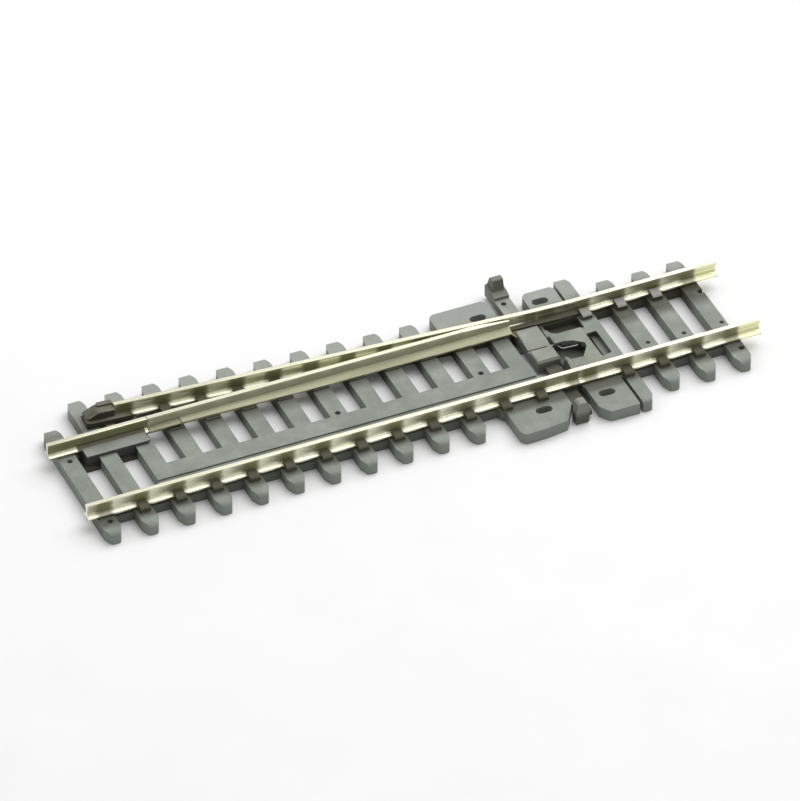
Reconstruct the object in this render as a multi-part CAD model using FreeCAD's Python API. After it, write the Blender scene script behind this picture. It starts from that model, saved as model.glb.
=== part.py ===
import FreeCAD, Part
import math
import os
from FreeCAD import Vector as V

# Catch turnout (trap point) for 16.5 mm gauge model track, with 2.54 mm tall rail.
# Millimetres. Working axes: X along the track, 0 at the left rail ends; Y across it,
# 0 on the centreline of the through road; Z up, 0 at the underside of the sleepers.
# Every finished solid is moved by ORIGIN, so that the model's origin is the bottom
# centre of its box.

# ---- driving dimensions ----
GAUGE = 16.5            # between the inner faces of the rail heads
HEAD_W = 0.95           # rail head width
RAIL_CC = GAUGE + HEAD_W
YR = RAIL_CC / 2        # rail centreline off the track centreline
RAIL_H = 2.54           # rail height
FOOT_W = 2.40           # rail foot width
WEB_W = 0.62            # rail web thickness
TRACK_L = 124.0         # overall length, along the rails
SLEEPER_T = 2.2         # sleeper thickness
SLEEPER_W = 3.1         # sleeper width
SEAT = 0.25             # chair seat between sleeper top and rail foot
RAIL_Z = SLEEPER_T + SEAT
PITCH = 6.63            # sleeper pitch
SET_X = 92.0            # where the diverging stock rail is set
SET_ANG = math.atan(0.0735)   # angle of the set
SET_R = 150.0           # radius of the set
B_END_X = 11.0          # free end of the diverging stock rail
HEEL_X = 18.0           # end of the fixed heel rail
BLADE_GAP = 0.12        # gap at the blade's heel
TOE_X = 85.0            # blade toe
PIVOT_X = 16.3          # blade pivot, on sleeper 3
PIN_R = 0.60            # pivot pin radius
RUN = 0.05              # running clearance, radial
TRAVEL = 2.0            # tie bar travel
TIE_X = 87.6            # tie bar centre
LUG_L = 3.0             # motor lug slot length, along X
LUG_W = 1.60            # motor lug slot width, along Y
LUG_DX = 11.7           # slot spacing along X
LUG_DY = 27.3           # slot spacing along Y
LUG_CX, LUG_CY = 87.5, 0.3
PINHOLE_R = 0.5         # track pin hole radius
WIREHOLE_R = 0.55       # wire hole radius in the last sleeper
CAP_X = 14.4            # where the free end's rail head stops, inside the end block
PANEL_Y = -4.3          # strip panel's edge towards the near rail
TRENCH_Z = 1.9          # floor of the trench between the panel and the near rail
LEDGE_Z = 2.86          # top of the heel ledge
ORIGIN = V(-TRACK_L / 2, -1.45, 0)

B_SLOPE = math.tan(SET_ANG)


def yb(x):
    """Centreline of the diverging stock rail."""
    return YR + max(0.0, (SET_X - x) * B_SLOPE)


# ---- shape helpers ----
def box(x0, x1, y0, y1, z0, z1):
    return Part.makeBox(x1 - x0, y1 - y0, z1 - z0, V(x0, y0, z0))


def cyl(x, y, z0, z1, r):
    return Part.makeCylinder(r, z1 - z0, V(x, y, z0))


def rounded_wire(pts, radii):
    """Closed wire through 3-D points in one plane, each corner rounded by its radius."""
    n = len(pts)
    if not isinstance(radii, (list, tuple)):
        radii = [radii] * n
    starts, ends, mids = [], [], []
    for i in range(n):
        p, a, b, r = pts[i], pts[i - 1], pts[(i + 1) % n], radii[i]
        if r <= 0:
            starts.append(p), ends.append(p), mids.append(None)
            continue
        u, w = (a - p), (b - p)
        u.normalize(), w.normalize()
        half = math.acos(max(-1.0, min(1.0, u.dot(w)))) / 2
        t = r / math.tan(half)
        bis = u + w
        bis.normalize()
        c = p + bis * (r / math.sin(half))
        starts.append(p + u * t), ends.append(p + w * t), mids.append(c - bis * r)
    edges = []
    for i in range(n):
        if mids[i] is not None:
            edges.append(Part.Arc(starts[i], mids[i], ends[i]).toShape())
        j = (i + 1) % n
        if (starts[j] - ends[i]).Length > 1e-6:
            edges.append(Part.LineSegment(ends[i], starts[j]).toShape())
    return Part.Wire(edges)


def plate(xy, z0, z1, r=0.0):
    """Flat plate with rounded corners, from its plan outline."""
    w = rounded_wire([V(x, y, z0) for x, y in xy], r)
    return Part.Face(w).extrude(V(0, 0, z1 - z0))


def xbar(yz, x0, x1, r=0.0):
    """Bar along X, from its section in Y and Z."""
    w = rounded_wire([V(x0, y, z) for y, z in yz], r)
    return Part.Face(w).extrude(V(x1 - x0, 0, 0))


def ybar(xz, y0, y1, r=0.0):
    """Bar along Y, from its section in X and Z."""
    w = rounded_wire([V(x, y0, z) for x, z in xz], r)
    return Part.Face(w).extrude(V(0, y1 - y0, 0))


def fuse(shapes):
    out = shapes[0]
    if len(shapes) > 1:
        out = shapes[0].multiFuse(shapes[1:])
    return out.removeSplitter()


def slot(x, y, length, width, z0, z1):
    h = (length - width) / 2
    s = box(x - h, x + h, y - width / 2, y + width / 2, z0, z1)
    return fuse([s, cyl(x - h, y, z0, z1, width / 2), cyl(x + h, y, z0, z1, width / 2)])


# ---- rail section ----
def rail_yz(yc, g=0.0, top_r=0.14):
    """Flat-bottomed rail section about yc, grown all round by g for clearances."""
    f, w, h = FOOT_W / 2 + g, WEB_W / 2 + g, HEAD_W / 2 + g
    z = RAIL_Z
    half = [(f, z - g), (f, z + 0.30 + g), (w, z + 0.62 + g), (w, z + 1.68 - g),
            (h, z + 1.92 - g), (h, z + RAIL_H + g)]
    radii = [0.0 if g else 0.05, 0.0 if g else 0.08, 0.0 if g else 0.22,
             0.0 if g else 0.15, 0.0, top_r if not g else 0.0]
    pts = [(yc + a, b) for a, b in half] + [(yc - a, b) for a, b in reversed(half)]
    return pts, radii + list(reversed(radii))


def straight_rail(yc, x0, x1, g=0.0):
    pts, radii = rail_yz(yc, g)
    return xbar(pts, x0, x1, radii)


def set_rail(x_left, x_right, g=0.0):
    """The stock rail with the set: straight, a short bend, then diverging to the left."""
    d = SET_R * math.tan(SET_ANG / 2)
    c = V(SET_X + d, YR + SET_R, 0)
    t1 = V(SET_X + d, YR, 0)
    t2 = V(SET_X - d * math.cos(SET_ANG), YR + d * math.sin(SET_ANG), 0)
    mid = c + V(-SET_R * math.sin(SET_ANG / 2), -SET_R * math.cos(SET_ANG / 2), 0)
    p0 = V(x_right, YR, 0)
    p3 = V(x_left, yb(x_left), 0)
    path = Part.Wire([Part.LineSegment(p0, t1).toShape(), Part.Arc(t1, mid, t2).toShape(),
                      Part.LineSegment(t2, p3).toShape()])
    pts, radii = rail_yz(YR, g)
    prof = rounded_wire([V(x_right, a, b) for a, b in pts], radii)
    return path.makePipeShell([prof], True, True)


# ---- chairs ----
JAW = 1.75     # chair jaw width along the rail


def jaw(x, yc, side, reach=1.3, w=JAW):
    """One chair jaw beside the rail: an upright block, and a lip over the foot."""
    f = FOOT_W / 2
    z = SLEEPER_T - 0.3
    gz = RAIL_Z + 0.03
    pts = [(f + 0.02, z), (f + reach, z), (f + reach, SLEEPER_T + 0.72),
           (f + reach - 0.28, SLEEPER_T + 0.94), (f - 0.15, SLEEPER_T + 1.10),
           (0.62, SLEEPER_T + 1.10), (0.62, gz + 0.56), (f + 0.02, gz + 0.32)]
    return xbar([(yc + side * a, b) for a, b in pts], x - w / 2, x + w / 2)


def seat(x, yc, w=JAW + 0.3, reach=1.2):
    return box(x - w / 2, x + w / 2, yc - FOOT_W / 2 - reach, yc + FOOT_W / 2 + reach,
               SLEEPER_T - 0.3, RAIL_Z)


# ---- sleepers ----
SX = [3.0] + [9.64 + PITCH * i for i in range(12)] + [98.72, 105.35, 112.0, 118.65]
NEAR = [-14.5, -14.8, -14.9, -14.95, -14.95, -14.75, -14.85, -14.9, -14.8, -14.85, -15.0,
        -11.0, -13.0, -18.4, -15.2, -15.45, -15.4]
FAR = [15.6, 21.3, 21.0, 20.6, 20.2, 19.6, 18.95, 18.7, 18.4, 17.9, 17.6, 17.4, 17.4,
       18.4, 15.3, 15.15, 15.2]
W, WE, TL = SLEEPER_W / 2, 0.80, 1.75  # half width, half width at the tip, taper length


def sleeper(i):
    x, n, f = SX[i], NEAR[i], FAR[i]
    xy = [(x - WE, n), (x + WE, n), (x + W, n + TL), (x + W, f - TL), (x + WE, f),
          (x - WE, f), (x - W, f - TL), (x - W, n + TL)]
    s = plate(xy, 0, SLEEPER_T, [0.62, 0.62, 1.6, 1.6, 0.62, 0.62, 1.6, 1.6])
    # the ends' top edges are rounded over
    side = xbar([(n, 0), (f, 0), (f, SLEEPER_T), (n, SLEEPER_T)], x - 2, x + 2, [0, 0, 0.95, 0.95])
    return s.common(side)


T = SLEEPER_T
solids = [sleeper(i) for i in range(17)]

# ribs below the rails, from sleeper to sleeper
solids.append(box(2.0, 84.4, -YR - 1.0, -YR + 1.0, 0, 1.75))
solids.append(box(90.6, 119.5, -YR - 1.0, -YR + 1.0, 0, 1.75))
solids.append(box(2.0, 18.0, YR - 1.0, YR + 1.0, 0, 1.75))
solids.append(box(96.0, 119.5, YR - 1.0, YR + 1.0, 0, 1.75))
rib_b = [(9.0, yb(9.0) - 1.0), (84.5, yb(84.5) - 1.0), (84.5, yb(84.5) + 1.0), (9.0, yb(9.0) + 1.0)]
solids.append(plate(rib_b, 0, 1.75))

# strip panel along the inside of the near rail
solids.append(plate([(14.75, PANEL_Y), (84.4, PANEL_Y), (84.4, -0.6), (14.75, -0.6)], 0, T,
                    [1.0, 0.2, 0, 0]))
solids.append(box(15.4, 84.4, -YR - 0.9, PANEL_Y + 0.1, 0, TRENCH_Z))

# the four lug pads either side of the tie bar
solids.append(plate([(75.5, -7.0), (75.5, -17.2), (76.2, -18.25), (80.0, -18.15), (84.2, -17.6),
                     (86.65, -13.6), (86.65, -7.0)], 0, T, [0, 1.0, 0.5, 1.0, 0.9, 0.8, 0]))
solids.append(plate([(90.5, -7.0), (90.5, -16.4), (91.9, -18.4), (97.3, -18.4), (97.3, -7.0)], 0, T,
                    [0, 0.5, 0.5, 0.2, 0]))
solids.append(plate([(74.0, 9.0), (74.0, 17.3), (74.8, 18.0), (83.9, 18.0), (84.8, 17.2), (84.8, 9.0)],
                    0, T, [0, 0.6, 0.6, 0.6, 0.6, 0]))
solids.append(plate([(90.9, 7.0), (90.9, 16.0), (91.6, 16.9), (96.4, 16.9), (97.0, 16.3), (97.0, 7.0)],
                    0, T, [0, 0.5, 0.5, 0.5, 0.5, 0]))

# spring housing floor between the rails, beside the tie bar
solids.append(box(90.3, 98.0, -10.5, 10.5, 0, T))
# floor straps under the tie bar, which join the two halves of the moulding
solids.append(box(83.0, 92.0, 4.4, 12.8, 0, 0.5))
solids.append(box(83.0, 92.0, -12.4, -4.6, 0, 0.5))

# floor under the heel block, which closes the gaps between sleepers 1, 2 and 3
solids.append(box(5.4, 17.5, 4.75, YR + 2.1, 0, 0.6))

# the trench beside the panel runs across the sleepers too
base = fuse(solids)
base = base.cut(box(14.6, 84.4, -6.3, PANEL_Y, TRENCH_Z, T + 1))
solids = [base]

# rail seats and chair jaws
FARRAIL = [3, 4, 5, 6, 7, 8, 9, 10, 11, 12]      # sleepers 4 to 13, under the set rail
for i in range(17):
    x = SX[i]
    ends = i in (0, 16)
    # near stock rail
    solids.append(seat(x, -YR, reach=0.0 if ends else 1.2))
    if not ends:
        solids.append(jaw(x, -YR, -1))
        solids.append(jaw(x, -YR, 1, reach=1.0))
    # far side, straight rail
    if i == 0 or i == 16:
        solids.append(seat(x, YR, reach=0.0))
    if i in (13, 14, 15):
        solids.append(seat(x, YR))
        solids.append(jaw(x, YR, -1, reach=1.5))
        solids.append(jaw(x, YR, 1))
    # far side, set rail
    if i in FARRAIL:
        solids.append(seat(x, yb(x), reach=0.0))
        solids.append(box(x - 1.0, x + 1.0, yb(x), yb(x) + FOOT_W / 2 + 1.2, T - 0.3, RAIL_Z))
        solids.append(jaw(x, yb(x), 1))
        room = yb(x) - FOOT_W / 2 - (YR + FOOT_W / 2 + 0.15)
        if room > 0.7:
            solids.append(jaw(x, yb(x), -1, reach=min(1.3, room)))
        # slide plates that the blade moves over
        if i < 12:
            solids.append(box(x - 1.25, x + 1.25, YR - 1.9, yb(x), T - 0.3, RAIL_Z - 0.04))
# seats under the heel rail and the diverging rail's free end
solids.append(seat(SX[1], YR, reach=0.0))

base = fuse(solids)

# cuts
cuts = []
for sx in (-1, 1):
    for sy in (-1, 1):
        cuts.append(slot(LUG_CX + sx * LUG_DX / 2, LUG_CY + sy * LUG_DY / 2, LUG_L, LUG_W, -1, T + 1))
# open grooves between the right-hand pads and sleeper 14
cuts.append(box(97.3, 97.85, -20, -10.6, -1, T + 1))
cuts.append(box(97.0, 97.5, 12.4, 20, -1, T + 1))
# track pin holes
for i in (7, 11):
    cuts.append(cyl(SX[i], 0.0, -1, T + 1, PINHOLE_R))
# wire holes in the first sleeper, beside the rails
cuts.append(cyl(3.1, 6.3, -1, T + 1, PINHOLE_R))
cuts.append(cyl(3.3, -11.0, -1, T + 1, PINHOLE_R))
# and in the last one
cuts.append(cyl(119.7, 5.3, -1, T + 1, WIREHOLE_R))
cuts.append(cyl(119.45, -11.6, -1, T + 1, WIREHOLE_R))
# ejector dimples on the right-hand sleepers, along the inside of the near rail
for x, y in [(105.5, -3.85), (112.2, -4.0), (119.4, -3.9)]:
    cuts.append(cyl(x, y, T - 0.5, T + 1, 0.42))
# spring pocket, with the anchor hole in its floor
SPR_A = (88.7, 1.5)      # spring tail in the tie bar
SPR_B = (94.8, 0.5)      # spring tail in the base
cuts.append(box(90.0, 95.5, -2.35, 1.95, 0.9, T + 1))
cuts.append(box(90.7, 94.2, -4.05, -2.2, 0.9, T + 1))
cuts.append(cyl(SPR_B[0], SPR_B[1], -1, 1.5, 0.30))
# hollow between the spring housing and the far rail
cuts.append(plate([(90.8, 6.3), (91.7, 5.9), (97.3, 5.9), (97.3, 7.62), (90.8, 7.62)], 0.7, T + 1,
                  [0.2, 0.6, 0.4, 0.2, 0.2]))
# its side towards the housing is a ramp
ramp = xbar([(4.15, T + 0.01), (4.15, T + 1), (6.6, T + 1), (6.6, 0.95), (5.9, 1.0)], 90.0, 97.3)
ramp = ramp.common(plate([(90.9, 7.0), (91.3, 5.2), (93.2, 4.0), (97.3, 4.3), (97.3, 7.0)], 0, T + 2,
                         [0.1, 1.2, 1.5, 0.4, 0.1]))
cuts.append(ramp)
# narrow well between the spring housing and sleeper 14
cuts.append(plate([(96.85, -4.2), (98.75, -3.7), (98.75, 2.7), (96.75, 2.6)], 1.3, T + 1, 0.35))
cuts.append(plate([(97.0, -3.9), (97.6, -3.9), (97.6, 2.3), (97.0, 2.3)], 0.8, T + 1, 0.15))
# peg holes for the spring cover
PEGS = [(91.3, 3.1), (95.5, -3.4)]
for x, y in PEGS:
    cuts.append(cyl(x, y, 0.9, T + 1, 0.52))
# well left of the heel, cut out for the heel block, the pivot and its washer
cuts.append(cyl(PIVOT_X, YR, -1, T + 1, PIN_R + RUN))
cuts.append(cyl(PIVOT_X, YR, -1, 0.62, 1.35))
base = base.cut(Part.makeCompound(cuts))

# ---- heel block: ledge moulding that covers the heel of the blade ----
HB0, HB1 = 5.9, 17.35
heel_block = xbar([(YR - 2.95, 0.6), (YR - 2.95, LEDGE_Z - 0.48), (YR - 3.35, LEDGE_Z - 0.38),
                   (YR - 3.35, LEDGE_Z), (YR - 0.80, LEDGE_Z), (YR - 0.42, LEDGE_Z + 0.1), (YR - 0.42, 0.6)],
                  HB0, HB1)
heel_far = box(HB0, 15.2, YR + 0.42, YR + 1.9, 0.6, 3.0)
link = box(HB0, 14.0, YR - 0.6, YR + 0.6, 1.2, RAIL_Z)
heel_block = fuse([heel_block, heel_far, link])
foot_cut, _r = rail_yz(YR, 0.02)
heel_block = heel_block.cut(straight_rail(YR, -1, HEEL_X + 1, 0.02))

# heel tag, pivot pin, retaining washer
TAG_T = 0.30
TAG_Z0 = RAIL_Z - 0.02 - TAG_T          # the tag runs under the heel rail's foot
TAG_X1 = 23.2
tag_xy = [(PIVOT_X - 1.3, YR - 1.0), (HEEL_X + 0.4, YR - 0.95), (TAG_X1, YR - 0.95),
          (TAG_X1, YR + 0.95), (HEEL_X + 0.4, YR + 0.95), (PIVOT_X - 1.3, YR + 1.0)]
heel_tag = plate(tag_xy, TAG_Z0, TAG_Z0 + TAG_T, [0.8, 0, 0.2, 0.2, 0, 0.8])
# a step up to the blade's foot, past the end of the heel rail
heel_tag = fuse([heel_tag, box(HEEL_X + 0.6, TAG_X1, YR - 0.9, YR + 0.9, TAG_Z0, RAIL_Z)])
heel_tag = heel_tag.cut(cyl(PIVOT_X, YR, 0, 5, PIN_R))
pivot_pin = fuse([cyl(PIVOT_X, YR, 0.15, TAG_Z0 + TAG_T, PIN_R)])
groove = Part.makeCylinder(PIN_R + 0.3, 0.22, V(PIVOT_X, YR, 0.26)).cut(
    Part.makeCylinder(PIN_R - 0.12, 0.22, V(PIVOT_X, YR, 0.26)))
pivot_pin = pivot_pin.cut(groove)
washer = cyl(PIVOT_X, YR, 0.28, 0.46, 1.15).cut(cyl(PIVOT_X, YR, 0, 1, PIN_R - 0.10))
# three relief notches, as on a push-on retaining washer
for k in range(3):
    a = math.radians(90 + 120 * k)
    washer = washer.cut(cyl(PIVOT_X + 0.62 * math.cos(a), YR + 0.62 * math.sin(a), 0, 1, 0.16))

# room in the moulding for the tag and the heel block
room = plate([(PIVOT_X - 1.7, YR - 1.35), (TAG_X1 + 0.6, YR - 1.6), (TAG_X1 + 0.6, YR + 1.4),
              (PIVOT_X - 1.7, YR + 1.35)], TAG_Z0 - 0.06, RAIL_Z + 0.5)
base = base.cut(room)
base = base.cut(fuse([box(HB0 - 0.03, HB1 + 0.03, YR - 2.98, YR - 0.40, 0.6, 4),
                      box(HB0 - 0.03, HB1 + 0.03, YR - 3.38, YR - 2.9, LEDGE_Z - 0.55, 4),
                      box(HB0 - 0.03, 15.23, YR + 0.40, YR + 1.93, 0.6, 4),
                      box(HB0 - 0.03, 14.03, YR - 0.63, YR + 0.63, 1.17, 4)]))
base = base.cut(cyl(PIVOT_X, YR, -1, T + 1, PIN_R + RUN))
heel_block = heel_block.cut(plate([(PIVOT_X - 1.7, YR - 1.35), (TAG_X1, YR - 1.6),
                                   (TAG_X1, YR + 1.4), (PIVOT_X - 1.7, YR + 1.35)],
                                  TAG_Z0 - 0.06, RAIL_Z + 0.02))
heel_block = heel_block.cut(cyl(PIVOT_X, YR, -1, 5, PIN_R + 0.25))

# ---- end block: closes the free end of the diverging stock rail ----
EB0, EB1 = 9.2, 17.3
u = V(-math.cos(SET_ANG), math.sin(SET_ANG), 0)


def beside_b(x, off):
    """A plan point beside the set rail, off its centreline."""
    return (x + off * math.sin(SET_ANG), yb(x) + off * math.cos(SET_ANG))


def along_b(x0, x1, o0, o1, z0, z1, r):
    """Flat plate beside or over the set rail, between two offsets from its centreline."""
    return plate([beside_b(x0, o0), beside_b(x1, o0), beside_b(x1, o1), beside_b(x0, o1)], z0, z1, r)


eb = [along_b(EB0, EB1, -1.9, 1.9, T - 0.4, 3.25, [0.9, 0.2, 0.2, 0.9]),
      along_b(EB0 + 0.2, CAP_X - 0.05, -1.15, 1.3, 3.0, 4.55, [0.7, 0.15, 0.15, 0.7]),
      along_b(EB0 + 2.4, CAP_X - 0.05, 0.5, 1.45, 3.0, 4.85, [0.4, 0.1, 0.1, 0.4])]
end_block = fuse(eb)
# the cap slopes down to its free end
slope = ybar([(EB0 - 1.0, 2.9), (EB0 + 2.3, 4.62), (EB0 + 2.3, 6.0), (EB0 - 1.0, 6.0)], 10.0, 20.0)
end_block = end_block.cut(slope)
end_block = end_block.cut(set_rail(B_END_X - 0.05, 30, 0.02).cut(
    box(B_END_X - 1, CAP_X, 5, 25, RAIL_Z + 1.68, RAIL_Z + 4)))
base = base.cut(along_b(EB0 - 0.03, EB1 + 0.03, -1.93, 1.93, T - 0.4, 5, 0))

# ---- bonding strip below the heel rail and the diverging rail ----
STRIP_X0, STRIP_X1 = 12.2, 13.8
strip = box(STRIP_X0, STRIP_X1, YR - 0.55, yb(13) + 0.5, RAIL_Z - 0.35, RAIL_Z)
strip_room = box(STRIP_X0 - 0.05, STRIP_X1 + 0.05, YR - 0.6, yb(13) + 0.55, RAIL_Z - 0.40, RAIL_Z + 0.001)
base = base.cut(strip_room)
heel_block = heel_block.cut(strip_room)
end_block = end_block.cut(strip_room)

# ---- rails ----
near_rail = straight_rail(-YR, 0, TRACK_L)
far_rail = set_rail(B_END_X, TRACK_L)
# the head and upper web are planed off inside the end block
far_rail = far_rail.cut(box(B_END_X - 1, CAP_X, 5, 25, RAIL_Z + 1.66, RAIL_Z + 4))
heel_rail = straight_rail(YR, 0, HEEL_X)

# keep the moulding off the rails' feet
below = box(-2, 200, -30, 30, 0, RAIL_Z)
base = base.cut(straight_rail(-YR, -1, TRACK_L + 1, 0.02).cut(below))
base = base.cut(set_rail(B_END_X - 0.05, TRACK_L + 1, 0.02).cut(below))

# ---- switch blade ----
BX0 = HEEL_X + BLADE_GAP
blade = straight_rail(YR, BX0, TOE_X)
flange = xbar([(YR - 1.65, RAIL_Z), (YR - 1.65, RAIL_Z + 0.28), (YR - 0.30, RAIL_Z + 0.95),
               (YR - 0.10, RAIL_Z)], 24.0, TOE_X)
flange = flange.cut(plate([(23.0, YR - 1.21), (24.0, YR - 1.21), (50.0, YR - 1.655), (50.0, YR - 2.5), (23.0, YR - 2.5)],
                          RAIL_Z - 1, RAIL_Z + 2))
blade = fuse([blade, flange])
blade = blade.cut(set_rail(B_END_X, TRACK_L, 0.07))
# far side: everything beyond the set rail's line is planed away
far_side = plate([(40.0, yb(40) - 0.9), (88.0, yb(88) - 0.30), (88.0, yb(88) + 5), (40.0, yb(40) + 5)],
                 RAIL_Z - 1, RAIL_Z + 0.45)
blade = blade.cut(far_side)
# the toe's top is planed down and its end rounded off
toe = plate([(TOE_X - 9.0, 5.0), (TOE_X + 1, 5.0), (TOE_X + 1, 12), (TOE_X - 9.0, 12)],
            RAIL_Z + RAIL_H - 0.35, RAIL_Z + RAIL_H + 1)
toe.rotate(V(TOE_X - 9.0, 0, RAIL_Z + RAIL_H), V(0, 1, 0), 2.2)
toe.translate(V(0, 0, 0.35))
blade = blade.cut(toe)
solids_b = sorted(blade.Solids, key=lambda s: -s.Volume)
blade = solids_b[0]

# ---- tie bar ----
TB_Z0, TB_Z1 = 0.6, 2.1
tb = [box(86.9, 89.4, -16.0, -2.0, TB_Z0, 1.5),
      box(86.2, 89.0, -2.2, 21.2, TB_Z0, TB_Z1),
      box(85.6, 89.8, -2.2, 7.4, TB_Z0, TB_Z1),
      # raised centre block
      ybar([(85.6, 2.0), (85.6, 2.75), (85.8, 2.95), (89.6, 2.95), (89.8, 2.75), (89.8, 2.0)],
           -2.2, 7.4)]
# near end post
tb.append(ybar([(86.0, 0.2), (88.4, 0.2), (88.4, 2.2), (88.1, 4.1), (87.7, 4.45), (86.7, 4.45),
                (86.3, 4.1), (86.0, 2.2)], -17.0, -15.3, [0, 0, 0.6, 0.3, 0.3, 0.3, 0.3, 0.6]))
# far end post
far_post = xbar([(17.0, 1.0), (21.2, 1.0), (21.2, 2.8), (20.1, 5.15), (18.9, 5.15), (18.3, 3.0),
                 (17.2, 2.6)], 86.2, 89.0, [0, 0, 0.3, 0.35, 0.35, 0.5, 0.2])
far_post = far_post.cut(box(85.0, 86.60, 15, 23, 3.0, 8)).cut(box(88.60, 90, 15, 23, 3.0, 8))
tb.append(far_post)
tie = fuse(tb)
tcut = [
    # groove for the spring's tail, and the hole it drops into
    box(85.0, 90.5, 1.12, 1.88, 2.35, 4),
    cyl(SPR_A[0], SPR_A[1], 1.2, 4, 0.28),
    # pocket and hole for the blade's toe tag
    box(85.0, 88.6, 4.9, 7.45, TB_Z1 - 0.03, 2.52),
    slot(87.3, 6.4, 0.95, 0.72, 1.0, TB_Z1 + 0.2),
    # drive hole near the far post, and the blind hole for a motor pin from below
    cyl(87.4, 15.9, 0, 4, 0.5),
    cyl(TIE_X, 0.0, 0, 1.9, 0.65),
]
tie = tie.cut(Part.makeCompound(tcut))
# chamfered tops of the two centre blocks
tie = tie.cut(xbar([(7.5, 2.4), (7.5, 3.2), (6.9, 3.2)], 85.0, 90.5))
tie = tie.cut(xbar([(-2.3, 2.4), (-2.3, 3.2), (-1.7, 3.2)], 85.0, 90.5))
# the far block's top slopes down to the groove
tie = tie.cut(xbar([(4.9, 2.96), (4.9, 3.3), (1.85, 3.3), (1.85, 2.55)], 85.0, 90.5))

# ---- toe tag and its pin ----
TOE_TAG_T = 0.22
toe_tag = plate([(80.6, YR - 1.1), (84.7, YR - 1.1), (85.5, YR - 2.7), (86.6, YR - 3.2),
                 (87.3, YR - 3.35), (88.2, YR - 2.4), (87.6, YR - 1.3), (85.6, YR - 0.5),
                 (80.6, YR - 0.5)], RAIL_Z - TOE_TAG_T, RAIL_Z,
                [0.2, 0.4, 0.6, 0.3, 0.5, 0.5, 0.4, 0.4, 0.2])
toe_pin = cyl(87.3, 6.4, 1.15, RAIL_Z, 0.30)
toe_tag = toe_tag.cut(cyl(87.3, 6.4, 0, 5, 0.30))

# ---- over-centre spring: round wire, a tail in the tie bar and a tail in the base ----
WIRE = 0.36
SPZ = 2.60


def wire_path(pts, radii):
    edges, last = [], pts[0]
    for i in range(1, len(pts) - 1):
        p, r = pts[i], radii[i - 1]
        a, b = pts[i - 1] - p, pts[i + 1] - p
        a.normalize(), b.normalize()
        half = math.acos(max(-1.0, min(1.0, a.dot(b)))) / 2
        t = r / math.tan(half)
        bis = a + b
        bis.normalize()
        s, e = p + a * t, p + b * t
        m = p + bis * (r / math.sin(half) - r)
        if (s - last).Length > 1e-6:
            edges.append(Part.LineSegment(last, s).toShape())
        edges.append(Part.Arc(s, m, e).toShape())
        last = e
    edges.append(Part.LineSegment(last, pts[-1]).toShape())
    return Part.Wire(edges)


spts = [V(SPR_A[0], SPR_A[1], 1.45), V(SPR_A[0], SPR_A[1], SPZ), V(90.65, 1.5, SPZ),
        V(91.15, 0.02, SPZ), V(93.8, -0.18, SPZ), V(SPR_B[0], SPR_B[1], SPZ), V(SPR_B[0], SPR_B[1], 1.0)]
spath = wire_path(spts, [0.35, 0.55, 0.55, 0.5, 0.35])
sprof = Part.Wire([Part.makeCircle(WIRE / 2, spts[0], V(0, 0, 1))])
spring = spath.makePipeShell([sprof], True, True)

# ---- spring cover ----
CZ0, CZ1 = T, 3.2
cov = [ybar([(90.25, CZ0), (90.25, CZ1 - 0.15), (90.4, CZ1), (96.15, CZ1), (96.35, CZ1 - 0.2), (96.35, CZ0)],
            -6.2, 4.1)]
cover = fuse(cov)
cover = cover.cut(fuse([
    plate([(89.0, -2.6), (90.5, -2.9), (91.0, -3.85), (93.3, -4.0), (95.0, -1.6), (95.1, -0.6),
           (93.4, 0.75), (91.9, 1.15), (89.0, 1.15)], CZ0 - 1, CZ1 + 1,
          [0, 0.2, 0.3, 0.3, 0.3, 0.3, 0.3, 0.2, 0]),
    box(89.0, 91.5, 0.5, 1.95, CZ0 - 1, 2.88),
    box(94.0, 95.45, -0.2, 1.2, CZ0 - 1, 2.88)]))
# sloping shoulders along the far edge and down to the near rail
cover = cover.cut(xbar([(4.2, 2.3), (4.2, 3.4), (3.3, 3.4)], 89, 98))
cover = cover.cut(xbar([(-6.3, 2.5), (-6.3, 3.4), (-3.9, 3.4), (-3.9, 3.21)], 89, 98))
cover = fuse([cover] + [cyl(x, y, 1.2, CZ0 + 0.1, 0.48) for x, y in PEGS])

# ---- write one STEP per node ----
NODES = {
    "sleeper_base": base,
    "near_stock_rail": near_rail,
    "far_stock_rail": far_rail,
    "heel_rail": heel_rail,
    "switch_blade": blade,
    "heel_block": heel_block,
    "rail_end_block": end_block,
    "rail_bonding_strip": strip,
    "blade_heel_tag": heel_tag,
    "blade_pivot_pin": pivot_pin,
    "pivot_retaining_washer": washer,
    "blade_toe_tag": toe_tag,
    "blade_toe_pin": toe_pin,
    "tie_bar": tie,
    "over_centre_spring": spring,
    "spring_cover": cover,
}
os.makedirs("parts", exist_ok=True)
for name, shape in NODES.items():
    shape = shape.copy()
    shape.translate(ORIGIN)
    if shape.ShapeType == "Compound" and len(shape.Solids) == 1:
        shape = shape.Solids[0]
    print(name, len(shape.Solids), "solids", shape.isValid(), round(shape.Volume, 2),
          [round(v, 2) for v in (shape.BoundBox.XMin, shape.BoundBox.XMax, shape.BoundBox.YMin,
                                 shape.BoundBox.YMax, shape.BoundBox.ZMin, shape.BoundBox.ZMax)])
    shape.exportStep("parts/" + name + ".step")
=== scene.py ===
import bpy
import bmesh
import math
from mathutils import Matrix, Vector


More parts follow.
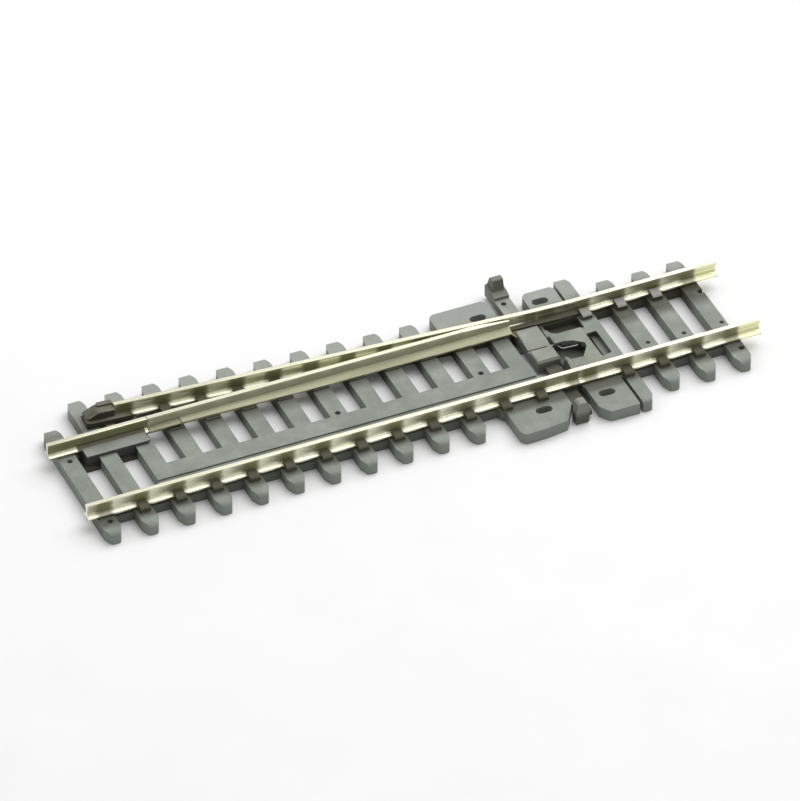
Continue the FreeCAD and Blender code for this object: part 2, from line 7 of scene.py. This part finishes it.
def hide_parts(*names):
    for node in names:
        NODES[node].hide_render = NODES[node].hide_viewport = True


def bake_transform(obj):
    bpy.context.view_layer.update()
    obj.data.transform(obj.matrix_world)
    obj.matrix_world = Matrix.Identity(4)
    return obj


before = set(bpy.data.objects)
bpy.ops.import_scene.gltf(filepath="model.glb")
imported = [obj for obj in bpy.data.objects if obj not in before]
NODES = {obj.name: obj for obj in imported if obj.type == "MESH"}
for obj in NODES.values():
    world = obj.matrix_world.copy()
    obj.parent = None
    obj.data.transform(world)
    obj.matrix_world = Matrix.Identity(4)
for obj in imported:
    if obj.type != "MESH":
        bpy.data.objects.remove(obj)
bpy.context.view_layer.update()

scene = bpy.context.scene
MM = 0.001

# ------------------------------------------------------------------ camera
# Long lens, about 39 degrees above the track, 24 degrees round from square on.
AZ, EL, DIST = math.radians(23.875), math.radians(38.802), 1.5
back = Vector((-math.sin(AZ) * math.cos(EL), -math.cos(AZ) * math.cos(EL), math.sin(EL)))
target = Vector((-3.0315, -5.8474, 5.0)) * MM
cam_data = bpy.data.cameras.new("camera")
cam_data.sensor_width = 36.0
cam_data.lens = 399.48
cam_data.clip_start = 0.05
cam_data.clip_end = 20.0
cam = bpy.data.objects.new("camera", cam_data)
scene.collection.objects.link(cam)
cam.location = target + back * DIST
cam.rotation_euler = (-back).to_track_quat("-Z", "Y").to_euler()
scene.camera = cam


# ------------------------------------------------------------------ small node helpers
class Mat:
    """One procedural material, built with few words."""

    def __init__(self, name):
        self.m = bpy.data.materials.new(name)
        self.m.use_nodes = True
        self.t = self.m.node_tree
        self.bsdf = self.t.nodes["Principled BSDF"]
        self.co = self.t.nodes.new("ShaderNodeTexCoord")

    def n(self, kind, **kw):
        node = self.t.nodes.new(kind)
        for k, v in kw.items():
            if hasattr(node, k):
                setattr(node, k, v)
            else:
                node.inputs[k].default_value = v
        return node

    def link(self, a, b):
        self.t.links.new(a, b)

    def coords(self, scale=(1, 1, 1)):
        mp = self.n("ShaderNodeMapping")
        mp.inputs["Scale"].default_value = scale
        self.link(self.co.outputs["Object"], mp.inputs["Vector"])
        return mp.outputs["Vector"]

    def noise(self, scale, coord_scale=(1, 1, 1), detail=4.0, rough=0.55):
        t = self.n("ShaderNodeTexNoise")
        t.inputs["Scale"].default_value = scale
        t.inputs["Detail"].default_value = detail
        t.inputs["Roughness"].default_value = rough
        self.link(self.coords(coord_scale), t.inputs["Vector"])
        return t.outputs["Fac"]

    def ramp(self, fac, stops):
        r = self.n("ShaderNodeValToRGB")
        el = r.color_ramp.elements
        while len(el) < len(stops):
            el.new(0.5)
        for e, (p, c) in zip(el, stops):
            e.position = p
            e.color = (*c, 1.0) if len(c) == 3 else c
        self.link(fac, r.inputs["Fac"])
        return r.outputs["Color"]

    def mix(self, a, b, fac, mode="MIX"):
        x = self.n("ShaderNodeMix")
        x.data_type = "RGBA"
        x.blend_type = mode
        for sock, v in ((x.inputs[0], fac), (x.inputs[6], a), (x.inputs[7], b)):
            if isinstance(v, bpy.types.NodeSocket):
                self.link(v, sock)
            elif isinstance(v, (int, float)):
                sock.default_value = v
            else:
                sock.default_value = (*v, 1.0)
        return x.outputs[2]

    def math(self, op, a, b=0.5, c=0.5, clamp=False):
        x = self.n("ShaderNodeMath")
        x.operation = op
        x.use_clamp = clamp
        for sock, v in zip(x.inputs, (a, b, c)):
            if isinstance(v, bpy.types.NodeSocket):
                self.link(v, sock)
            else:
                sock.default_value = v
        return x.outputs[0]

    def maprange(self, v, a, b, c=0.0, d=1.0):
        x = self.n("ShaderNodeMapRange")
        x.clamp = True
        self.link(v, x.inputs["Value"])
        for k, val in zip(("From Min", "From Max", "To Min", "To Max"), (a, b, c, d)):
            x.inputs[k].default_value = val
        return x.outputs["Result"]

    def bump(self, height, dist, strength=1.0, normal=None):
        b = self.n("ShaderNodeBump")
        b.inputs["Distance"].default_value = dist
        b.inputs["Strength"].default_value = strength
        self.link(height, b.inputs["Height"])
        if normal is not None:
            self.link(normal, b.inputs["Normal"])
        return b.outputs["Normal"]

    def set(self, name, v):
        s = self.bsdf.inputs[name]
        if isinstance(v, bpy.types.NodeSocket):
            self.link(v, s)
        elif isinstance(v, (int, float)):
            s.default_value = v
        else:
            s.default_value = (*v, 1.0) if len(v) == 3 else v

    def xyz(self):
        s = self.n("ShaderNodeSeparateXYZ")
        self.link(self.co.outputs["Object"], s.inputs[0])
        return s.outputs

    def up(self):
        """How far the surface faces up, from its own normal."""
        g = self.n("ShaderNodeNewGeometry")
        s = self.n("ShaderNodeSeparateXYZ")
        self.link(g.outputs["Normal"], s.inputs[0])
        return s.outputs[2]


# ------------------------------------------------------------------ the track's own dimensions
X0, Y0 = -62.0, -1.45          # the left rail ends and the track centreline, in the frame, mm
YR, SET_X, SLOPE = 8.725, 92.0, 0.0735


def row(m):
    """X, Y and Z of the point, in mm: X from the left rail ends, Y from the track centreline."""
    x, y, z = m.xyz()
    return (m.math("MULTIPLY_ADD", x, 1000.0, -X0), m.math("MULTIPLY_ADD", y, 1000.0, -Y0),
            m.math("MULTIPLY", z, 1000.0))


def rail_gap(m, x, y):
    """How far the point is, across the track, from the nearest stock rail's centreline, in mm."""
    near = m.math("ABSOLUTE", m.math("ADD", y, YR))
    off = m.math("MULTIPLY", m.math("MAXIMUM", m.math("SUBTRACT", SET_X, x), 0.0), SLOPE)
    far = m.math("ABSOLUTE", m.math("SUBTRACT", m.math("SUBTRACT", y, YR), off))
    return m.math("MINIMUM", near, far)


def band(m, v, a, b, soft):
    """1 where v lies between a and b, fading to 0 over soft on either side."""
    return m.math("MULTIPLY", m.maprange(v, a - soft, a, 0.0, 1.0), m.maprange(v, b, b + soft, 1.0, 0.0))


def at_chairs(m, x):
    """1 where x is at a sleeper, 0 between two."""
    def phase(first):
        t = m.math("DIVIDE", m.math("SUBTRACT", x, first), 6.63)
        return m.math("MULTIPLY", m.math("ABSOLUTE", m.math("SUBTRACT", t, m.math("ROUND", t))), 6.63)
    left, right = phase(9.64), phase(98.72)
    side = m.math("GREATER_THAN", x, 90.0)
    d = m.math("ADD", m.math("MULTIPLY", right, side),
               m.math("MULTIPLY", left, m.math("SUBTRACT", 1.0, side)))
    return m.maprange(d, 0.9, 1.9, 1.0, 0.0)


def plastic(name, base, dark, light, painted_shade, grain=True, rough=0.55, rails=False, side=0.62,
            bar=False):
    """Moulded plastic, matt, with wood grain along the sleepers where it has any.

    The sides are painted darker than the tops, as painted shade; with rails, the moulding has painted shade and shadow
    close to the rails and in its hollows."""
    m = Mat(name)
    mottle = m.noise(260.0, detail=6.0)
    cloud = m.noise(55.0, detail=3.0)
    col = m.ramp(mottle, [(0.32, dark), (0.5, base), (0.70, light)])
    speck = m.noise(4200.0, detail=3.0)
    col = m.mix(col, light, m.maprange(speck, 0.60, 0.80, 0.0, 0.30))
    col = m.mix(col, dark, m.maprange(cloud, 0.50, 0.72, 0.0, 0.35))
    h = m.noise(5200.0, detail=4.0)
    nrm = m.bump(h, 0.00003, 0.35)
    if grain:
        g = m.noise(900.0, (1.0, 0.10, 1.0), detail=8.0, rough=0.65)
        fine = m.noise(3600.0, (1.0, 0.06, 1.0), detail=4.0)
        both = m.math("ADD", m.math("MULTIPLY", g, 0.7), m.math("MULTIPLY", fine, 0.3))
        col = m.mix(col, dark, m.maprange(both, 0.52, 0.30, 0.0, 0.45))
        nrm = m.bump(both, 0.00010, 0.45, nrm)
    up = m.up()
    # painted shade: the sides are darker than the tops, by the factor side
    painted_side_shade = tuple(c * side for c in base)
    flank = m.maprange(up, 0.80, 0.15, 0.0, 1.0)
    col = m.mix(col, painted_side_shade, m.math("MULTIPLY", flank, 0.85))
    if rails:
        x, y, z = row(m)
        gap = rail_gap(m, x, y)
        wob = m.noise(420.0, detail=5.0)
        gap = m.math("ADD", gap, m.math("MULTIPLY", m.math("SUBTRACT", wob, 0.5), 1.2))
        outer = m.maprange(y, -YR - 1.0, -YR - 1.2, 0.0, 1.1)
        close = m.maprange(m.math("SUBTRACT", gap, outer), 1.9, 3.1, 1.0, 0.0)
        # painted shade in the corners by the rails: on the flanks first, on the tops a little
        col = m.mix(col, painted_shade, m.math("MULTIPLY", close, m.maprange(flank, 0.0, 1.0, 0.68, 0.36)))
        # painted shadow of the far rail on the tops beside it, right of the spring housing
        inside = m.math("MULTIPLY", m.maprange(x, 100.4, 100.8, 0.0, 1.0), m.maprange(y, 1.6, 4.2, 0.0, 0.90))
        inside = m.math("MULTIPLY", inside, m.maprange(wob, 0.35, 0.60, 0.80, 1.0))
        inside = m.math("MULTIPLY", inside, m.maprange(y, 8.2, 8.6, 1.0, 0.0))
        col = m.mix(col, painted_shade, inside)
        # the far ends are lighter, on the tops most
        pale = m.math("MULTIPLY", m.maprange(y, 12.6, 14.2, 0.0, 0.42), m.maprange(flank, 0.2, 0.8, 1.0, 0.3))
        col = m.mix(col, (0.42, 0.43, 0.405), pale)
        # painted shade low down beside the rails, under their feet
        low = m.math("MULTIPLY", m.maprange(gap, 1.5, 2.0, 1.0, 0.0), m.maprange(z, 2.10, 1.95, 0.0, 1.0))
        col = m.mix(col, painted_shade, m.math("MULTIPLY", low, 0.26))
        # the chairs are painted dark, as the shade they stand in, broken up with noise
        chair_noise = m.noise(1100.0, detail=4.0)
        chair = m.math("MULTIPLY", m.maprange(gap, 3.2, 3.9, 1.0, 0.0), m.maprange(z, 2.26, 2.38, 0.0, 1.0))
        chair = m.math("MULTIPLY", chair, m.maprange(chair_noise, 0.56, 0.72, 0.96, 0.62))
        # painted highlight: the far rail's inner chairs, right of the spring housing, are lit on top, without the
        # painted shade
        painted_chair_highlight = m.math("MULTIPLY", m.maprange(x, 96.0, 97.0, 0.0, 1.0), band(m, y, 4.0, 8.0, 0.1))
        painted_chair_highlight = m.math("MULTIPLY", painted_chair_highlight, m.maprange(flank, 0.0, 0.5, 0.85, 0.0))
        chair = m.math("MULTIPLY", chair, m.math("SUBTRACT", 1.0, painted_chair_highlight))
        col = m.mix(col, (0.072, 0.071, 0.040), chair)
        col = m.mix(col, (0.42, 0.41, 0.395), m.math("MULTIPLY", painted_chair_highlight, m.maprange(z, 2.40, 2.60, 0.0, 0.80)))
        # painted shadow of the blade on the bed that it slides over
        painted_blade_shadow = m.math("MULTIPLY", m.maprange(y, 3.8, 6.9, 0.0, 1.0), m.maprange(y, 9.2, 10.2, 1.0, 0.0))
        painted_blade_shadow = m.math("MULTIPLY", painted_blade_shadow, band(m, x, 18.6, 86.0, 0.6))
        col = m.mix(col, painted_shade, m.math("MULTIPLY", painted_blade_shadow, 0.86))
        # painted shade in the trench between the panel and the near rail, on the heel's floor, and in the hollows by
        # the tie bar
        trench = m.math("MULTIPLY", band(m, y, -7.5, -4.3, 0.12), band(m, x, 14.6, 84.5, 0.3))
        heel = m.math("MULTIPLY", band(m, y, 4.7, 11.0, 0.12), band(m, x, 5.3, 17.6, 0.3))
        recess = m.math("MULTIPLY", m.maprange(y, 3.9, 6.2, 0.30, 1.0), band(m, x, 90.7, 97.4, 0.1))
        recess = m.math("MULTIPLY", recess, band(m, y, 4.0, 7.8, 0.1))
        deep = m.maprange(z, 2.12, 1.9, 0.0, 1.0)
        wells = m.math("MULTIPLY", band(m, y, -5.0, 3.6, 0.3), band(m, x, 89.9, 99.0, 0.3))
        pit = m.math("MAXIMUM", m.math("MULTIPLY", trench, 0.0), m.math("MULTIPLY", heel, 0.95))
        pit = m.math("MAXIMUM", pit, m.math("MULTIPLY", recess, 0.80))
        pit = m.math("MAXIMUM", pit, m.math("MULTIPLY", wells, m.maprange(x, 96.6, 96.8, 0.55, 0.0)))
        narrow = m.math("MULTIPLY", band(m, x, 96.9, 100.4, 0.1), m.maprange(y, -0.6, 2.4, 0.12, 0.92))
        narrow = m.math("MULTIPLY", narrow, m.maprange(y, 3.7, 4.0, 1.0, 0.0))
        pit = m.math("MAXIMUM", pit, narrow)
        col = m.mix(col, painted_shade, m.math("MULTIPLY", pit, deep))
    if bar:
        # painted shade where the bar runs between the near pads, and on its far post
        x, y, z = row(m)
        strip = m.math("MULTIPLY", m.maprange(y, -2.1, -2.3, 0.0, 1.0), m.maprange(z, 2.6, 1.6, 0.0, 1.0))
        post = m.math("MULTIPLY", m.maprange(y, 16.6, 17.6, 0.0, 0.45), m.maprange(z, 2.0, 2.8, 0.3, 1.0))
        col = m.mix(col, painted_shade, m.math("MAXIMUM", m.math("MULTIPLY", strip, 0.84), post))
    m.set("Base Color", col)
    m.set("Roughness", m.maprange(mottle, 0.3, 0.7, rough - 0.08, rough + 0.10))
    m.set("Specular IOR Level", 0.35)
    m.set("Normal", nrm)
    return m.m


def metal(name, base, dark, rough=0.30, along=(0.04, 1.0, 1.0), painted_web_shade=0.5, rail=None, bare=None, chairs=False,
          spare=0.36):
    """Drawn metal with fine draw lines, and painted shade and reflection in the web and the other faces that do not
    face up.

    On a rail the head, the foot's edges and the cut ends stay bright; spare is how much of the web's painted shade
    there is between two chairs."""
    m = Mat(name)
    lines = m.noise(2600.0, along, detail=4.0, rough=0.55)
    patch = m.noise(300.0, (0.5, 1.0, 1.0), detail=6.0)
    up = m.up()
    web = m.maprange(up, 0.75, 0.2, 0.0, 1.0)
    amount = m.maprange(patch, 0.30, 0.70, painted_web_shade * 0.80, painted_web_shade)
    painted_rail_shade = None
    if rail:
        x, y, z = row(m)
        # the cut ends are bright
        g = m.n("ShaderNodeNewGeometry")
        nn = m.n("ShaderNodeSeparateXYZ")
        m.link(g.outputs["Normal"], nn.inputs[0])
        end = m.maprange(m.math("ABSOLUTE", nn.outputs[0]), 0.75, 0.9, 1.0, 0.12)
        amount = m.math("MULTIPLY", amount, end)
        # painted shade on the inner half of the foot's slope, as on the web
        gap = rail_gap(m, x, y) if rail != "blade" else m.math("ABSOLUTE", m.math("SUBTRACT", y, YR))
        low = m.maprange(z, 3.6, 3.2, 0.0, 1.0)
        slope = m.math("MULTIPLY", m.maprange(gap, 0.72, 0.42, 0.0, 0.75), low)
        web = m.math("MAXIMUM", web, slope)
    if chairs:
        # painted shade and reflection: the web dark at the chairs, brighter between them
        at = at_chairs(m, x)
        amount = m.math("MULTIPLY", amount, m.maprange(at, 0.0, 1.0, spare, 1.0))
        # painted shade low on the rail at the chairs
        painted_rail_shade = m.math("MULTIPLY", m.math("MULTIPLY", at, low), m.maprange(gap, 1.4, 0.3, 0.55, 0.35))
    if bare is not None:
        # past the last sleeper the web has little painted shade, and the rail there is given a pale yellow colour
        amount = m.math("MULTIPLY", amount, m.maprange(x, bare, bare + 0.5, 1.0, 0.10))
    mask = m.math("MULTIPLY", web, amount)
    flange = None
    if rail == "blade":
        # the rolled flange along the blade's running side is dull all over
        flange = m.math("MULTIPLY", m.maprange(z, 3.75, 3.35, 0.0, 1.0), m.maprange(y, YR - 0.20, YR - 0.35, 0.0, 1.0))
    if rail == "far":
        # painted shade on the foot where the tie bar and the spring housing stand against it
        foot = m.math("MULTIPLY", m.maprange(z, 3.60, 3.40, 0.0, 1.0), band(m, x, 84.6, 98.0, 0.25))
        painted_rail_shade = m.math("MAXIMUM", painted_rail_shade, m.math("MULTIPLY", foot, m.maprange(y, YR, YR - 0.2, 0.0, 0.95)))
    if rail == "heel":
        # and painted shade on the heel rail's foot where the ledge moulding holds it
        foot = m.math("MULTIPLY", m.maprange(z, 3.60, 3.30, 0.0, 1.0), band(m, x, 5.2, 17.4, 0.15))
        painted_rail_shade = m.math("MULTIPLY", foot, 0.88)
    # painted shade and reflection: the web darker and less metallic
    col = m.mix(base, dark, mask)
    if chairs:
        # painted reflection: the web is lighter between the chairs, where it reflects the bright gaps between the
        # sleepers
        painted_gap_reflection = m.math("MULTIPLY", web, m.maprange(at, 0.0, 0.6, 0.75, 0.0))
        col = m.mix(col, (0.93, 0.925, 0.74), painted_gap_reflection)
    col = m.mix(col, dark, m.maprange(lines, 0.62, 0.30, 0.0, 0.08))
    if flange is not None:
        streak = m.noise(520.0, (0.12, 1.0, 1.0), detail=5.0)
        dull = m.mix((0.36, 0.362, 0.235), (0.27, 0.272, 0.17), m.maprange(streak, 0.35, 0.65, 0.0, 1.0))
        col = m.mix(col, dull, m.math("MULTIPLY", flange, 0.84))
        mask = m.math("MAXIMUM", mask, m.math("MULTIPLY", flange, 0.80))
    if bare is not None:
        col = m.mix(col, (0.80, 0.78, 0.44), m.maprange(x, bare, bare + 0.5, 0.0, 0.75))
    metallic = m.maprange(mask, 0.2, 0.9, 1.0, 0.50)
    r = m.math("ADD", m.maprange(lines, 0.3, 0.7, rough - 0.04, rough + 0.06),
               m.maprange(mask, 0.1, 0.9, 0.0, 0.20))
    if painted_rail_shade is not None:
        col = m.mix(col, (0.060, 0.058, 0.030), painted_rail_shade)
        metallic = m.math("MULTIPLY", metallic, m.maprange(painted_rail_shade, 0.2, 0.8, 1.0, 0.0))
        r = m.math("ADD", r, m.maprange(painted_rail_shade, 0.2, 0.8, 0.0, 0.25))
    m.set("Base Color", col)
    m.set("Metallic", metallic)
    m.set("Roughness", r)
    m.set("Normal", m.bump(lines, 0.000004, 0.15))
    return m.m


# the colour of all the painted shade and shadow on the plastic
PAINTED_SHADE = (0.052, 0.050, 0.032)
BASE = (0.250, 0.271, 0.237)
# side is how much darker each plastic's sides are painted than its tops, as painted shade
SLEEPER = plastic("sleeper_plastic", BASE, (0.205, 0.224, 0.196), (0.318, 0.341, 0.303), PAINTED_SHADE, rails=True, side=0.76)
# the heel block's sides are painted nearly black, as the shade under its ledge
LEDGE = plastic("heel_block_plastic", (0.285, 0.295, 0.268), (0.22, 0.23, 0.205), (0.34, 0.35, 0.32), PAINTED_SHADE,
                grain=False, side=0.18)
COVER = plastic("cover_plastic", (0.275, 0.295, 0.245), (0.20, 0.215, 0.18), (0.33, 0.35, 0.30), PAINTED_SHADE,
                grain=False, side=0.50)
TIE = plastic("tie_bar_plastic", (0.300, 0.315, 0.276), (0.225, 0.230, 0.196), (0.370, 0.385, 0.345), PAINTED_SHADE,
              grain=False, side=0.60, bar=True)
# the end block is coloured dark as painted shade, for the shade at the far rail's end
DARK = plastic("end_block_plastic", (0.128, 0.128, 0.092), (0.072, 0.070, 0.048), (0.20, 0.20, 0.165), PAINTED_SHADE,
               grain=False, side=0.40)
# PAINTED_WEB_SHADE is the colour of the painted shade and dark reflection in the webs
NICKEL, PAINTED_WEB_SHADE = (0.685, 0.68, 0.53), (0.224, 0.232, 0.100)
RAIL = metal("nickel_silver", NICKEL, PAINTED_WEB_SHADE, painted_web_shade=0.98, rail="near", bare=119.9, chairs=True, spare=0.0)
RAIL_FAR = metal("nickel_silver_far", NICKEL, PAINTED_WEB_SHADE, painted_web_shade=0.98, rail="far", bare=119.9, chairs=True, spare=0.0)
RAIL_HEEL = metal("nickel_silver_heel", NICKEL, PAINTED_WEB_SHADE, painted_web_shade=0.98, rail="heel")
BLADE = metal("nickel_silver_blade", NICKEL, (0.60, 0.605, 0.43), painted_web_shade=0.80, rail="blade")
PIN = metal("nickel_silver_pin", NICKEL, PAINTED_WEB_SHADE, painted_web_shade=0.6)
BRONZE = metal("phosphor_bronze", (0.36, 0.30, 0.20), (0.15, 0.12, 0.075), rough=0.45)
STEEL = metal("spring_steel", (0.24, 0.24, 0.225), (0.14, 0.14, 0.13), rough=0.42, painted_web_shade=0.5)

FINISH = {
    "sleeper_base": SLEEPER, "heel_block": LEDGE, "rail_end_block": DARK, "spring_cover": COVER,
    "tie_bar": TIE, "near_stock_rail": RAIL, "far_stock_rail": RAIL_FAR, "heel_rail": RAIL_HEEL,
    "switch_blade": BLADE, "rail_bonding_strip": BRONZE, "blade_heel_tag": BRONZE,
    "blade_toe_tag": BRONZE, "blade_pivot_pin": PIN, "blade_toe_pin": PIN,
    "pivot_retaining_washer": STEEL, "over_centre_spring": STEEL,
}
BEVEL = {"sleeper_base": 0.10, "heel_block": 0.12, "spring_cover": 0.12, "tie_bar": 0.12,
         "rail_end_block": 0.15, "near_stock_rail": 0.03, "far_stock_rail": 0.03,
         "heel_rail": 0.03, "switch_blade": 0.03}

for name, ob in NODES.items():
    ob.data.materials.clear()
    ob.data.materials.append(FINISH[name])
    if name in BEVEL:
        w = ob.modifiers.new("weld", "WELD")
        w.merge_threshold = 0.000002
        b = ob.modifiers.new("bevel", "BEVEL")
        b.width = BEVEL[name] * MM
        b.segments = 2
        b.limit_method = "ANGLE"
        b.angle_limit = math.radians(35)
        b.use_clamp_overlap = True
        b.harden_normals = False

# The spring is wire: its tail goes with the tie bar, its other end stays in the base. Here a copy of its mesh, baked
# in place, is drawn instead of the part, which is hidden.
spring = bpy.data.objects.new("spring_wire", NODES["over_centre_spring"].data.copy())
scene.collection.objects.link(spring)
spring.data.materials.clear()
spring.data.materials.append(STEEL)
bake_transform(spring)
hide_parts("over_centre_spring")

# ------------------------------------------------------------------ floor, light
bm = bmesh.new()
bmesh.ops.create_grid(bm, x_segments=8, y_segments=8, size=3.0)
fm = bpy.data.meshes.new("floor")
bm.to_mesh(fm)
bm.free()
floor = bpy.data.objects.new("floor", fm)
scene.collection.objects.link(floor)
f = Mat("floor_white")
f.set("Base Color", f.ramp(f.noise(60.0), [(0.3, (0.90, 0.90, 0.90)), (0.7, (0.92, 0.92, 0.92))]))
f.set("Roughness", 0.9)
f.set("Specular IOR Level", 0.1)
fm.materials.append(f.m)

world = bpy.data.worlds.new("world")
scene.world = world
world.use_nodes = True
bg = world.node_tree.nodes["Background"]
bg.inputs["Color"].default_value = (1.0, 1.0, 1.0, 1.0)
bg.inputs["Strength"].default_value = 0.50

right = Vector((math.cos(AZ), -math.sin(AZ), 0))
away = Vector((math.sin(AZ), math.cos(AZ), 0))


def area(name, direction, dist, size, power, size_y=None):
    d = bpy.data.lights.new(name, "AREA")
    d.energy = power
    d.size = size
    if size_y:
        d.shape = "RECTANGLE"
        d.size_y = size_y
    o = bpy.data.objects.new(name, d)
    scene.collection.objects.link(o)
    v = direction.normalized()
    o.location = v * dist
    o.rotation_euler = v.to_track_quat("Z", "Y").to_euler()
    return o


area("key", right * 0.50 + away * 0.62 + Vector((0, 0, 1.25)), 0.9, 1.0, 7.3)
area("fill", -right * 0.9 + away * 0.2 + Vector((0, 0, 0.9)), 1.0, 0.6, 0.9)

scene.view_settings.view_transform = "Standard"
scene.view_settings.look = "None"
